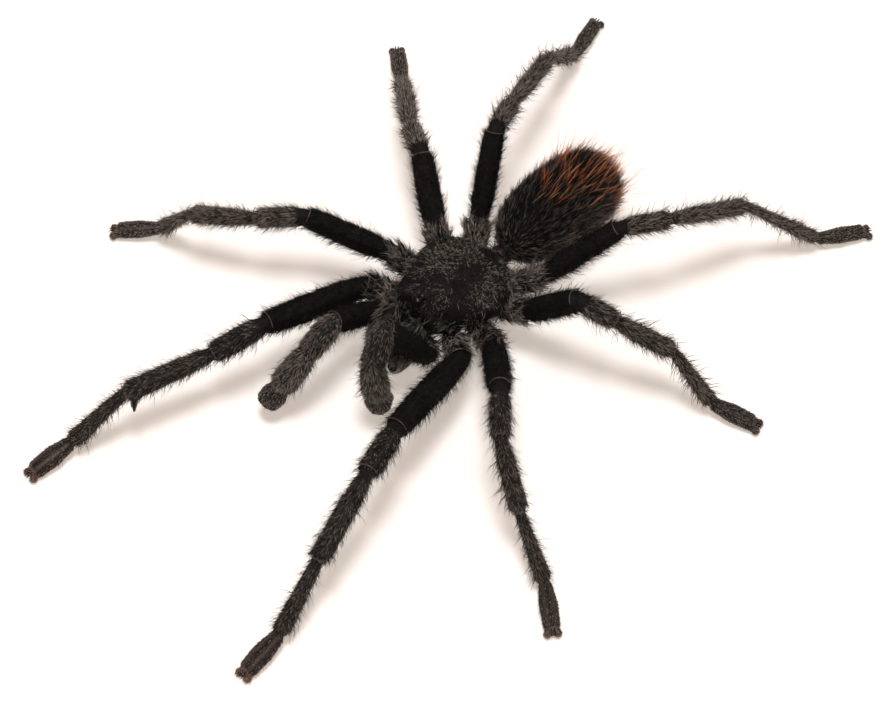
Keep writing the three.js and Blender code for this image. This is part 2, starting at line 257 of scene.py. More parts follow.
def patches(points, width, seed):
    """Smooth values from 0 to 1 in patches of about that width, in mm."""
    rng = np.random.default_rng(seed)
    total = np.zeros(len(points))
    waves = 5
    for _ in range(waves):
        way = unit(rng.normal(size=3)) * 2 * math.pi / (width * rng.uniform(0.7, 1.5))
        total += np.sin(points @ way + rng.uniform(0, 2 * math.pi))
    return np.clip(0.5 + total / waves, 0, 1)


def only(obj):
    """Selects one object alone and makes it the active one."""
    bpy.ops.object.select_all(action="DESELECT")
    obj.select_set(True)
    bpy.context.view_layer.objects.active = obj
    return obj


def finish_piece(obj, material, slot, *nodes):
    """Gives a piece its material and sets it on the body. The slot is not used."""
    obj.data.materials.clear()
    obj.data.materials.append(material)
    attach(obj, BODY)
    if nodes:
        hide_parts(*nodes)
    return obj


def apply_modifiers(obj):
    """Applies each modifier in turn."""
    only(obj)
    for modifier in list(obj.modifiers):
        bpy.ops.object.modifier_apply(modifier=modifier.name)
    return obj


# Forms


def tapered(name, points, radii, sides):
    """A curved tapering form along the points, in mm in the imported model's frame, with a radius at each."""
    data = bpy.data.curves.new(name, "CURVE")
    data.dimensions = "3D"
    data.bevel_depth = MM
    data.bevel_resolution = max(1, sides // 4)
    data.use_fill_caps = True
    data.resolution_u = 4
    spline = data.splines.new("NURBS")
    spline.points.add(len(points) - 1)
    for knot, point, radius in zip(spline.points, points, radii):
        knot.co = (*(np.asarray(point) * MM), 1)
        knot.radius = radius
    spline.order_u = min(4, len(points))
    spline.use_endpoint_u = True
    made = bpy.data.objects.new(name, data)
    bpy.context.scene.collection.objects.link(made)
    only(made)
    bpy.ops.object.convert(target="MESH")
    made = bpy.context.view_layer.objects.active
    bpy.ops.object.mode_set(mode="EDIT")
    bpy.ops.mesh.select_all(action="SELECT")
    bpy.ops.mesh.remove_doubles(threshold=0.002 * MM)
    bpy.ops.mesh.normals_make_consistent(inside=False)
    bpy.ops.object.mode_set(mode="OBJECT")
    bpy.ops.object.shade_smooth()
    return made


def join_all(objects, name):
    """Several meshes as one piece."""
    only(objects[0])
    for obj in objects:
        obj.select_set(True)
    if len(objects) > 1:
        bpy.ops.object.join()
    whole = bpy.context.view_layer.objects.active
    whole.name = whole.data.name = name
    return whole


# Materials


def add_node(tree, kind, settings=None, values=None, links=None):
    """A new node with its settings, socket values and links."""
    made = tree.nodes.new(kind)
    for name, value in (settings or {}).items():
        setattr(made, name, value)
    for name, value in (values or {}).items():
        made.inputs[name].default_value = value
    for name, source in (links or {}).items():
        tree.links.new(source, made.inputs[name])
    return made


def ramp(tree, source, stops):
    """The colour that (place, colour) stops give to a socket's value."""
    made = add_node(tree, "ShaderNodeValToRGB", links={"Fac": source})
    elements = made.color_ramp.elements
    while len(elements) < len(stops):
        elements.new(0.5)
    for element, (place, value) in zip(elements, stops):
        element.position = place
        element.color = (*value[:3], 1.0)
    return made.outputs["Color"]


def spread(tree, source, low, high):
    """A socket's value from 0 to 1 spread between two numbers."""
    values = {"To Min": low, "To Max": high}
    return add_node(tree, "ShaderNodeMapRange", values=values, links={"Value": source}).outputs["Result"]


def laid_over(tree, factor, under, over, kind="MIX"):
    """One colour over another, where the factor and the colours are values or sockets."""
    made = add_node(tree, "ShaderNodeMix", {"data_type": "RGBA", "blend_type": kind})
    for name, given in {"Factor": factor, "A": under, "B": over}.items():
        if isinstance(given, bpy.types.NodeSocket):
            tree.links.new(given, made.inputs[name])
        else:
            made.inputs[name].default_value = given
    return made.outputs["Result"]


def texture(tree, kind, grain, values=None):
    """A texture in the object's own space, its grain in mm."""
    at = add_node(tree, "ShaderNodeTexCoord").outputs["Object"]
    return add_node(tree, kind, values={"Scale": 1 / (grain * MM), **(values or {})}, links={"Vector": at})


def raised(tree, height, strength, depth):
    """The normals of a fine relief, its depth in mm."""
    values = {"Strength": strength, "Distance": depth * MM}
    return add_node(tree, "ShaderNodeBump", values=values, links={"Height": height}).outputs["Normal"]


def dress(tree, shader, specular, **sockets):
    """Sets the shader's specular level, and links a socket to each input named."""
    shader.inputs["Specular IOR Level"].default_value = specular
    for name, source in sockets.items():
        tree.links.new(source, shader.inputs[name.replace("_", " ")])


def new_material(name):
    """A new material with its tree and its shader, or only the material where it is made already."""
    material = bpy.data.materials.get(name)
    if material:
        return material, None, None
    material = bpy.data.materials.new(name)
    material.use_nodes = True
    tree = material.node_tree
    tree.nodes.clear()
    shader = add_node(tree, "ShaderNodeBsdfPrincipled")
    add_node(tree, "ShaderNodeOutputMaterial", links={"Surface": shader.outputs["BSDF"]})
    return material, tree, shader


def hair_material(name, stops, tip_light):
    """Dried hair of keratin-like chitin: matt, with a silky light along each shaft. The shade of a hair
    is the first value of its map, and the second runs from root to tip: painted shade darkens the roots,
    where the hairs shade one another, and painted light brightens the tips."""
    material, tree, shader = new_material(name)
    if tree is None:
        return material
    at = add_node(tree, "ShaderNodeUVMap", {"uv_map": HAIR_MAP}).outputs["UV"]
    parts = add_node(tree, "ShaderNodeSeparateXYZ", links={"Vector": at}).outputs
    # Painted shade and light: each hair's colour runs from a fifth of its shade at the root to tip_light
    # times it at the tip
    lit = add_node(
        tree,
        "ShaderNodeVectorMath",
        {"operation": "SCALE"},
        links={0: ramp(tree, parts["X"], stops), "Scale": spread(tree, parts["Y"], 0.2, tip_light)},
    )
    gloss = spread(tree, parts["Y"], 0.8, 0.45)
    dress(tree, shader, 0.22, Base_Color=lit.outputs["Vector"], Roughness=gloss)
    return material


def skin_material(colours):
    """Dried cuticle under the fur: near-black and finely wrinkled, with reddish soft skin at the joints
    and two smooth bare stripes along the top of the outer segments."""
    material, tree, shader = new_material("dried_cuticle")
    if tree is None:
        return material
    grain = texture(tree, "ShaderNodeTexNoise", 0.5, {"Detail": 4}).outputs["Fac"]
    pores = texture(tree, "ShaderNodeTexVoronoi", 0.28).outputs["Distance"]
    soft, bald, fade = (
        add_node(tree, "ShaderNodeAttribute", {"attribute_name": name}).outputs["Fac"] for name in SKIN_MARKS
    )
    coloured = laid_over(tree, fade, (*colours.black, 1), (*colours.brown, 1))
    striped = laid_over(tree, bald, coloured, (*colours.cuticle, 1))
    speckled = laid_over(tree, 0.5, striped, grain, "MULTIPLY")
    jointed = laid_over(tree, soft, speckled, (*colours.membrane, 1))
    height = add_node(tree, "ShaderNodeMath", {"operation": "ADD"}, links={0: grain, 1: pores})
    wrinkles = raised(tree, height.outputs["Value"], 0.6, 0.06)
    dress(tree, shader, 0.3, Base_Color=jointed, Roughness=spread(tree, bald, 0.8, 0.32), Normal=wrinkles)
    return material


def leather_material(name, base, crease_shade, wrinkle, rough):
    """Bare dried skin or horn, drawn into fine creases as it dried and softly shining, with painted shade
    that darkens the creases of its relief. A wrinkle is that many mm wide."""
    material, tree, shader = new_material(name)
    if tree is None:
        return material
    folds = texture(tree, "ShaderNodeTexNoise", wrinkle, {"Detail": 5, "Distortion": 1.2}).outputs["Fac"]
    # Painted shade: the low folds of the relief, where the bump sinks, take the darker crease colour
    shade = ramp(tree, folds, [(0.3, crease_shade), (0.65, base)])
    gloss = spread(tree, folds, rough + 0.12, rough - 0.08)
    dress(tree, shader, 0.5, Base_Color=shade, Roughness=gloss, Normal=raised(tree, folds, 0.7, 0.08))
    return material


def polished_horn(colours):
    """The hard black horn of fangs, claws, hooks and eyes, with a wet-looking shine."""
    return leather_material("polished_horn", colours.horn, linear("050404"), wrinkle=0.5, rough=0.16)


def paper_material(white, lamp, glow):
    """Matt white paper on a light table, with a grain too faint to see, so that only pale shadows show."""
    material, tree, shader = new_material("matt_white_paper")
    if tree is None:
        return material
    grain = texture(tree, "ShaderNodeTexNoise", 2).outputs["Fac"]
    shade = ramp(tree, grain, [(0.0, [c * 0.99 for c in white]), (1.0, white)])
    dress(tree, shader, 0.1, Base_Color=shade)
    shader.inputs["Emission Color"].default_value = (*lamp, 1)
    shader.inputs["Emission Strength"].default_value = glow
    shader.inputs["Roughness"].default_value = 0.9
    return material


def limb_hair(colours):
    """The hair of the limbs, from velvety black through brown and grey to tan and rust."""
    stops = [
        (0.0, colours.black),
        (0.25, colours.brown),
        (0.5, colours.grey),
        (0.75, colours.tan),
        (1.0, colours.russet),
    ]
    return hair_material("limb_hair", stops, 1.35)


def body_hair(colours):
    """The short hair of the carapace and jaws, black with pale grey-green hairs and some rust; the palest of
    them are a painted highlight, glints of light put into their colour.
    """
    stops = [
        (0.0, colours.black),
        (0.3, [c * 1.1 for c in colours.brown]),
        (0.7, colours.moss),
        # Painted highlight: this palest stop, 2.5 times the grey-green, stands in for glints of light on the
        # hairs
        (0.85, [c * 2.5 for c in colours.moss]),
        (1.0, colours.membrane),
    ]
    return hair_material("carapace_hair", stops, 1.2)


def abdomen_hair(colours):
    """The hair of the abdomen, black and brown, with long russet hairs that end in orange."""
    stops = [
        (0.0, colours.black),
        (0.25, colours.brown),
        (0.45, [c * 1.3 for c in colours.grey]),
        (0.7, colours.russet),
        (1.0, colours.orange),
    ]
    return hair_material("abdomen_hair", stops, 1.5)


# Skins


def sunk_copy(node, voxel, sink, rounds):
    """The skin under the fur of a CAD node: a merged copy, remeshed evenly, smoothed and sunk, in mm."""
    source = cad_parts[node]
    skin = bpy.data.objects.new(node + "_skin", source.data.copy())
    bpy.context.scene.collection.objects.link(skin)
    only(skin)
    bpy.ops.object.mode_set(mode="EDIT")
    bpy.ops.mesh.select_all(action="SELECT")
    bpy.ops.mesh.remove_doubles(threshold=0.002 * MM)
    bpy.ops.object.mode_set(mode="OBJECT")
    remesh = skin.modifiers.new("Even", "REMESH")
    remesh.mode = "VOXEL"
    remesh.voxel_size = voxel * MM
    smooth = skin.modifiers.new("Smooth", "SMOOTH")
    smooth.factor = 0.5
    smooth.iterations = rounds
    sunk = skin.modifiers.new("Sunk", "DISPLACE")
    sunk.mid_level = 0
    sunk.strength = -sink * MM
    apply_modifiers(skin)
    bpy.ops.object.shade_smooth()
    return skin


def points_of(skin):
    """The skin's vertices, in mm."""
    points = np.empty(len(skin.data.vertices) * 3, np.float32)
    skin.data.vertices.foreach_get("co", points)
    return points.reshape(-1, 3).astype(float) / MM


def move_points(skin, points):
    """Puts the skin's vertices at new places, in mm."""
    skin.data.vertices.foreach_set("co", (points * MM).astype(np.float32).ravel())
    skin.data.update()


def surface_of(skin):
    """The skin as points and normals, and the corners of its triangles, in mm."""
    mesh = skin.data
    mesh.calc_loop_triangles()
    normals = np.empty(len(mesh.vertices) * 3, np.float32)
    mesh.vertices.foreach_get("normal", normals)
    corners = np.empty(len(mesh.loop_triangles) * 3, np.int32)
    mesh.loop_triangles.foreach_get("vertices", corners)
    return points_of(skin), normals.reshape(-1, 3).astype(float), corners.reshape(-1, 3)


def mark(skin, **values):
    """Stores a value from 0 to 1 for each vertex under each name."""
    for name in SKIN_MARKS:
        layer = skin.data.attributes.new(name, "FLOAT", "POINT")
        given = values.get(name, 0.0)
        full = np.broadcast_to(np.asarray(given, np.float32), len(skin.data.vertices))
        layer.data.foreach_set("value", np.ascontiguousarray(full))


# Hairs


def scatter(rng, surface, density, weight):
    """Random places on a surface, so many per square mm where the weight is 1."""
    points, normals, corners = surface
    a, b, c = (points[corners[:, k]] for k in range(3))
    share = np.linalg.norm(np.cross(b - a, c - a), axis=1) / 2
    if weight is not None:
        share = share * weight((a + b + c) / 3, unit(sum(normals[corners[:, k]] for k in range(3))))
    count = int(density * share.sum())
    chosen = rng.choice(len(share), count, p=share / share.sum())
    u, v = rng.random((2, count))
    over = u + v > 1
    u[over], v[over] = 1 - u[over], 1 - v[over]
    blend = np.stack([1 - u - v, u, v])[:, :, None]
    pick = [corners[chosen, k] for k in range(3)]
    at = sum(blend[k] * points[pick[k]] for k in range(3))
    facing = sum(blend[k] * normals[pick[k]] for k in range(3))
    return at, unit(facing)


def strands(rng, roots, ways, curls, lengths, widths, tints, steps):
    """Closed tapering hairs on three sides, each a curve of so many steps, with their map."""
    count = len(roots)
    side = unit(np.cross(ways, rng.normal(size=(count, 3))))
    other = np.cross(ways, side)
    rings, shares = [], []
    for step in range(steps):
        share = step / steps
        centre = roots + lengths[:, None] * (ways * share + curls * share**2)
        radius = (widths / 2 * math.sqrt(1 - share))[:, None]
        for k in range(3):
            turn = 2 * math.pi * k / 3
            rings.append(centre + radius * (math.cos(turn) * side + math.sin(turn) * other))
            shares.append(share)
    rings.append(roots + lengths[:, None] * (ways + curls))
    shares.append(1.0)
    faces = [(0, 2, 1)]
    for step in range(steps):
        low, high = 3 * step, 3 * step + 3
        for k in range(3):
            m = (k + 1) % 3
            if step == steps - 1:
                faces.append((low + k, low + m, high))
            else:
                faces += [(low + k, low + m, high + m), (low + k, high + m, high + k)]
    each = len(rings)
    faces = np.array(faces)
    points = np.stack(rings, axis=1).reshape(-1, 3)
    triangles = (faces[None] + np.arange(count)[:, None, None] * each).reshape(-1, 3)
    along = np.array(shares)[faces.ravel()]
    maps = np.stack([np.repeat(tints, faces.size), np.tile(along, count)], axis=1)
    return points, triangles, maps


def grow(rng, surface, lay, hairs, weight=None, tune=None):
    """One class of hairs on a surface. lay gives the way that the fur lies, weight how dense it stands,
    and tune each hair's length against the coat's own and its shade."""
    roots, normals = scatter(rng, surface, hairs.density, weight)
    count = len(roots)
    along = unit(flat_on(unit(lay(roots)), normals) + normals * 1e-3)
    along = unit(flat_on(along + rng.normal(scale=hairs.stray, size=(count, 3)), normals))
    lift = np.radians(rng.uniform(*hairs.lift, count))[:, None]
    ways = along * np.cos(lift) + normals * np.sin(lift)
    factor, tints = tune(rng, roots, normals)
    lengths = rng.uniform(*hairs.length, count) * factor
    width, pull = hairs.clump
    cells = np.floor(roots / width).astype(int)
    _, first, clumps = np.unique(cells, axis=0, return_index=True, return_inverse=True)
    clumps = clumps.ravel()
    alike = rng.random(count) < hairs.alike
    tints = np.where(alike, tints[first[clumps]], tints)
    ways = drawn_together(roots, ways, lengths, clumps, pull)
    curls = (along - ways) * rng.uniform(*hairs.bend, count)[:, None]
    curls = curls + rng.normal(scale=hairs.wave, size=(count, 3))
    widths = hairs.width * rng.uniform(0.75, 1.2, count) * np.where(tints > PALE, STOUT, 1)
    roots = roots - normals * hairs.width / 2
    return strands(rng, roots, ways, curls, lengths, widths, np.clip(tints, 0.01, 0.99), hairs.steps)


def drawn_together(roots, ways, lengths, clumps, pull):
    """The ways of the hairs once the tips of each clump have drawn together."""
    tips = roots + ways * lengths[:, None]
    sizes = np.bincount(clumps)
    middles = np.stack([np.bincount(clumps, tips[:, k]) / sizes for k in range(3)], axis=1)
    return unit(ways + (middles[clumps] - tips) * pull / lengths[:, None])


def either(rng, count, share, some, others):
    """Shades in one range for a share of the hairs, and in another for the rest."""
    return np.where(rng.random(count) < share, rng.uniform(*some, count), rng.uniform(*others, count))


def with_some(rng, shades, share, some):
    """The shades once a share of the hairs has others."""
    count = len(shades)
    return np.where(rng.random(count) < share, rng.uniform(*some, count), shades)


def hair_object(name, parts):
    """All hairs of a piece as one mesh, kept above the floor."""
    points, triangles, maps, start = [], [], [], 0
    for p, t, m in parts:
        points.append(p)
        triangles.append(t + start)
        maps.append(m)
        start += len(p)
    points, triangles, maps = (np.concatenate(x) for x in (points, triangles, maps))
    floor_gap = 0.02
    points[:, 2] = np.maximum(points[:, 2], floor_gap)
    mesh = bpy.data.meshes.new(name)
    mesh.vertices.add(len(points))
    mesh.vertices.foreach_set("co", (points * MM).astype(np.float32).ravel())
    mesh.loops.add(triangles.size)
    mesh.loops.foreach_set("vertex_index", triangles.astype(np.int32).ravel())
    mesh.polygons.add(len(triangles))
    mesh.polygons.foreach_set("loop_start", np.arange(0, triangles.size, 3, dtype=np.int32))
    mesh.update(calc_edges=True)
    layer = mesh.uv_layers.new(name=HAIR_MAP)
    layer.data.foreach_set("uv", maps.astype(np.float32).ravel())
    made = bpy.data.objects.new(name, mesh)
    bpy.context.scene.collection.objects.link(made)
    return made


# Limbs


def limb_segments(name):
    """A limb's segments as (kind, start, end, radius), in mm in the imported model's frame."""
    pair, side = name.rsplit("_", 1)
    root, hip, lengths, girth = LIMBS[pair]
    swing, bearings, lifts = POSES[name]
    sign = SIDES[side]
    palp = pair == "pedipalp"
    kinds, radii = (PALP_KINDS, PALP_RADII) if palp else (LEG_KINDS, LEG_RADII)
    root, hip = np.array(root, float), np.array(hip, float) + (0, swing, 0)
    joints = [root, root + HIP_SHARE * (hip - root), hip]
    for i, length in enumerate(lengths):
        last = joints[-1]
        lift = math.radians(lifts[i]) if i < len(lifts) else math.asin((STANDING[i] - last[2]) / length)
        bearing = math.radians(bearings[i])
        level = length * math.cos(lift)
        joints.append(
            last + (level * math.cos(bearing), level * math.sin(bearing), length * math.sin(lift))
        )
    joints = [placed(j * (sign, 1, 1)) for j in joints]
    grown = [1, 1] + [girth] * len(lengths)
    rows = [(k, joints[i], joints[i + 1], radii[i] * grown[i]) for i, k in enumerate(kinds)]
    direction = unit(joints[-1] - joints[-2])
    if palp:
        back = unit(np.cross((1, 0, 0), direction))
        centre = joints[-1] - direction + back * 1.4
        rows.append(("bulb", centre, centre - direction * 3.2 + back * 0.6, 0.6))
        return rows
    across = unit(np.cross(direction, UP))
    for hand in (-1, 1):
        pad = joints[-1] + across * hand * 0.76 + direction * 0.2
        pad[2] = 0.73
        rows.append(("tuft", pad, pad + direction * 0.05, 0.86))
    if pair == "leg_1":
        rows += [("hook", *path, 0.35) for path in hook_paths(joints[4], joints[5], sign)]
    return rows


def hook_paths(knee, ankle, sign):
    """Start and end of the two mating hooks under a first leg's tibia."""
    direction = unit(ankle - knee)
    across = unit(np.cross(direction, UP))
    down = unit(np.cross(direction, across))
    paths = []
    for inward in (0.3, 1.1):
        lean = unit(across * inward * sign + down)
        start = knee + (ankle - knee) * 0.9 + lean * 0.87
        paths.append((start, start + lean * 2 + direction))
    return paths


def locate(rows, points):
    """For each point: its segment, how far along it in mm and as a share, the segment's way, the angle
    round it from the top, and the way out from its axis."""
    best = np.full(len(points), 1e9)
    which = np.zeros(len(points), int)
    reach = np.zeros(len(points))
    for i, (_, start, end, radius) in enumerate(rows):
        axis = end - start
        share = np.clip((points - start) @ axis / (axis @ axis), 0, 1)
        gap = np.linalg.norm(points - start - share[:, None] * axis, axis=1) - radius
        closer = gap < best
        best[closer], which[closer], reach[closer] = gap[closer], i, share[closer]
    starts = np.array([r[1] for r in rows])[which]
    axes = np.array([r[2] - r[1] for r in rows])[which]
    lengths = np.linalg.norm(axes, axis=1)
    ways = unit(axes)
    out = unit(points - starts - axes * reach[:, None])
    across = unit(np.cross(ways, UP))
    top = np.cross(across, ways)
    angle = np.arctan2(np.sum(out * across, axis=1), np.sum(out * top, axis=1))
    kinds = np.array([r[0] for r in rows])[which]
    return {
        "kind": kinds,
        "share": reach,
        "from_start": reach * lengths,
        "to_end": (1 - reach) * lengths,
        "way": ways,
        "angle": angle,
        "top": np.cos(angle),
    }


def joint_closeness(at, width):
    """1 at the rims of the femur and the patella, on their upper side, falling to 0 over a width in mm."""
    jointed = np.isin(at["kind"], ("femur", "patella"))
    near = np.exp(-(((at["to_end"] - 0.2) / width) ** 2))
    return near * jointed * np.clip(at["top"] + 0.4, 0, 1)


def stripe_closeness(at, width):
    """1 on the two bare stripes along the top of the outer segments."""
    strength = np.select(
        [at["kind"] == "tarsus", at["kind"] == "metatarsus", np.isin(at["kind"], ("patella", "tibia"))],
        [1.0, 0.25, 0.3],
        0.0,
    )
    stripe = np.exp(-(((np.abs(at["angle"]) - 0.5) / width) ** 2))
    middle = np.clip(np.minimum(at["share"], 1 - at["share"]) / 0.12, 0, 1)
    return strength * stripe * middle


class LimbFur:
    """Where the hairs of one limb stand, how they lie and how each looks."""

    def __init__(self, name):
        self.rows = limb_segments(name)
        self.palp = name.startswith("pedipalp")
        self.first = name.startswith("leg_1")
        self.stripes = BARENESS[name.rsplit("_", 1)[0]]
        self.sparse = 0.45 if self.palp else 1.0
        self.painted_sheen = PAINTED_SHEEN[name]

    def find(self, points):
        """Where the points are on the limb."""
        return locate(self.rows, points)

    def lay(self, points):
        """The way that the fur lies, along each segment."""
        return self.find(points)["way"]

    def pads(self, at):
        """The claw tufts, at the tip of a leg."""
        tip = (at["kind"] == "tarsus") & (at["to_end"] < 0.5) & (not self.palp)
        return (at["kind"] == "tuft") | tip

    def marks(self, points):
        """The marks of the skin under the fur."""
        at = self.find(points)
        return {
            "membrane": joint_closeness(at, 0.2) * 0.08,
            "bald": np.maximum(stripe_closeness(at, 0.22), self.pads(at)) * self.stripes,
            "fade": np.clip([SEGMENT_FUR[k][1] * 2 for k in at["kind"]], 0, 1),
        }

    def short_weight(self, points, _):
        """The short fur stands everywhere but on the rims, the stripes, the bulbs and the hooks."""
        at = self.find(points)
        stripe = stripe_closeness(at, 0.2) * 0.85 * self.stripes
        bare = np.maximum(joint_closeness(at, 0.12) * 0.5, stripe)
        return (1 - bare) * ~np.isin(at["kind"], HAIRLESS)

    def hip_weight(self, points, _):
        """Only the hips are shaggy."""
        return np.isin(self.find(points)["kind"], HIPS) * 1.0

    def guard_weight(self, points, _):
        """Guard hairs are few on the feet, and stand closer on the sides than on top."""
        at = self.find(points)
        low = 0.75 + 0.25 * np.clip(0.6 - at["top"], 0, 1)
        thin = np.where(np.isin(at["kind"], ("tarsus", "tuft")), 0.15, 1.0) * self.sparse
        return low * thin * ~np.isin(at["kind"], (*HAIRLESS, *HIPS))

    def bristle_weight(self, points, _):
        """Bristles fringe the sides and the underside."""
        at = self.find(points)
        under = (0.3 + 0.7 * np.clip(0.5 - at["top"], 0, 1)) * self.sparse
        return np.isin(at["kind"], ("femur", *SHAFTS)) * under

    def spine_weight(self, points, _):
        """Spines stand on the outer segments."""
        return np.isin(self.find(points)["kind"], SHAFTS) * 1.0

    def tune(self, rng, points, _):
        """The usual hairs of each segment, in patches of black, grey and tan."""
        at = self.find(points)
        count = len(points)
        factor, shade, pale = (np.array([SEGMENT_FUR[k][j] for k in at["kind"]]) for j in range(3))
        drawn = rng.random(count)
        # Painted sheen: on limbs that catch more light the hairs are paler and more of them are grey or tan;
        # femora keep their own shade
        grey = np.where(at["kind"] == "femur", 1, self.painted_sheen)
        shade = shade * (0.6 + 0.4 * grey) + 0.1 * (patches(points, 3, 7) - 0.5)
        shade = shade + rng.normal(scale=0.07, size=count)
        lighter = drawn < pale * grey * (0.5 + patches(points, 2, 8))
        paler = np.minimum(rng.uniform(0.4, 0.72, count) + 0.08 * (grey - 1), 0.76)
        shade = np.where(lighter, paler, shade)
        shade = np.where(self.pads(at), rng.uniform(0.5, 0.72, count) + 0.2 * self.stripes, shade)
        jointed = np.isin(at["kind"], ("femur", "patella", "tibia"))
        factor = factor * np.where(jointed, np.clip(at["to_end"] / 0.6, 0.35, 1), 1)
        flank = self.first & (at["kind"] == "tarsus") & (np.abs(at["angle"]) > 1.1) & (drawn > 0.6)
        shade = np.where(flank, rng.uniform(0.7, 0.95, count), shade)
        return factor, shade

    def tune_bristles(self, rng, points, normals):
        """Bristles are nearly black and vary in length."""
        factor, shade = self.tune(rng, points, normals)
        return np.sqrt(factor) * rng.uniform(0.65, 1.15, len(points)), shade * 0.4

    def tune_hips(self, rng, points, _):
        """The hips have pale locks among the black."""
        count = len(points)
        pale = 0.12 + 0.6 * patches(points, 1.1, 9)
        return np.ones(count), either(rng, count, pale, (0.5, 0.82), (0, 0.15))

    def tune_spines(self, rng, points, _):
        """Spines are black."""
        return np.ones(len(points)), np.zeros(len(points))


class SPECIMEN_OT_limbs(bpy.types.Operator):
    """Skin and fur of the eight legs and the two pedipalps"""

    bl_idname = "specimen.limbs"
    bl_label = "Limbs"

    def execute(self, context):
        fur, colours = context.scene.specimen_fur, context.scene.specimen_colours
        for seed, name in enumerate(POSES):
            self.limb(name, np.random.default_rng(100 + seed), fur, colours)
        return {"FINISHED"}

    def limb(self, name, rng, fur, colours):
        """One limb: its sunk skin, its coat and its rims."""
        limb = LimbFur(name)
        skin = sunk_copy(name, voxel=0.22, sink=fur.depth / MM, rounds=6)
        mark(skin, **limb.marks(points_of(skin)))
        finish_piece(skin, skin_material(colours), "limb_fur", name)
        surface = surface_of(skin)
        coats = self.coats(limb, 0.6 if name in SPINY else 0.06, fur)
        parts = [grow(rng, surface, limb.lay, hairs, weight, tune) for hairs, weight, tune in coats]
        finish_piece(hair_object(name + "_fur", parts), limb_hair(colours), "limb_fur")
        self.rims(name, limb.rows)

    def coats(self, limb, spiny, fur):
        """The classes of hairs of a limb, with where each stands and how it looks."""
        short, guard, bristle, thick = (x / MM for x in (fur.short, fur.guard, fur.bristle, fur.thickness))
        close = (short * 0.7, short * 1.2), (14, 36), thick * 0.9
        shaggy = Coat(11, (1.5, 3.2), (12, 64), thick, 2, (0.2, 0.9), 0.6, 0.07, (0.7, 0.6), 0.85)
        guards = Coat(9, (guard * 0.55, guard), (30, 66), thick * 0.55, stray=0.3, clump=(0.5, 0.05))
        fringe = (bristle * 0.5, bristle * 1.15), (38, 76), thick * 0.75
        spines = Coat(spiny, (2.2, 3.4), (52, 82), thick, 2, (0.1, 0.4), 0.3)
        return (
            (Coat(fur.limb_density, *close, clump=(0.33, 0.45), alike=0.5), limb.short_weight, limb.tune),
            (shaggy, limb.hip_weight, limb.tune_hips),
            (guards, limb.guard_weight, limb.tune),
            (Coat(6.5, *fringe, 2, (0.1, 0.7), 0.3, 0.05), limb.bristle_weight, limb.tune_bristles),
            (spines, limb.spine_weight, limb.tune_spines),
        )

    # Each rim: its segment, where along it, its reach from the axis against the segment's radius, its
    # half thickness in mm, and how far round from the top it goes to both sides, in degrees
    RIMS = (
        ("coxa", 1.02, 0.98, 0.1, 75),
        ("trochanter", 1.02, 0.98, 0.11, 80),
        ("femur", 0.985, 0.875, 0.075, 62),
        ("patella", 0.975, 0.95, 0.07, 60),
        ("tibia", 0.985, 0.99, 0.05, 50),
    )

    def rims(self, name, rows):
        """The hard shining rims of the segments at the joints, drawn as arcs over the top."""
        look = leather_material("joint_rim", linear("6A5C54"), linear("1E1612"), wrinkle=0.45, rough=0.4)
        arcs = []
        shown = self.RIMS[:3] if name.startswith("pedipalp") else self.RIMS
        for kind, place, reach, thick, spread in shown:
            _, start, end, radius = next(row for row in rows if row[0] == kind)
            way = unit(end - start)
            across = unit(np.cross(way, UP))
            top = np.cross(across, way)
            turns = np.radians(np.linspace(-spread, spread, 9))
            middle = start + (end - start) * place
            path = [middle + radius * reach * (np.sin(t) * across + np.cos(t) * top) for t in turns]
            arcs.append(tapered("rim", path, [thick * (0.25 + 0.75 * math.cos(t / 2)) for t in turns], 8))
        finish_piece(join_all(arcs, name + "_rims"), look, "bare_skin")


# Body


def toward_margin(points):
    """The way the carapace's fur lies: out from the pit, and forward on the head."""
    out = points - placed(PIT)
    out[:, 2] *= 0.3
    out = unit(out)
    ahead = np.clip((placed(PIT)[1] - 5 - points[:, 1]) / 6, 0, 1)[:, None]
    return unit(out * (1 - 0.5 * ahead) + np.array([0, -1.0, -0.2]) * 0.5 * ahead)


def backward(points):
    """The way the abdomen's fur lies."""
    return np.tile([0.0, 1.0, 0.12], (len(points), 1))


def forward_down(points):
    """The way the jaws' fur lies."""
    return np.tile([0.0, -0.75, -0.65], (len(points), 1))


def groove_depth(points):
    """Depth of the shallow grooves that run out from the pit between the legs, in mm."""
    offset = points - placed(PIT)
    reach = np.hypot(offset[:, 0], offset[:, 1])
    bearing = np.abs(np.degrees(np.arctan2(offset[:, 0], -offset[:, 1])))
    depth = np.zeros(len(points))
    for angle, strength in ((38, 1.4), (72, 1), (103, 1), (134, 0.9), (160, 0.6)):
        width = 5 + 20 / np.maximum(reach, 1)
        depth += strength * np.exp(-(((bearing - angle) / width) ** 2))
    return 0.2 * depth * np.clip(reach / 2, 0, 1) * np.clip((8.6 - reach) / 2.5, 0, 1)


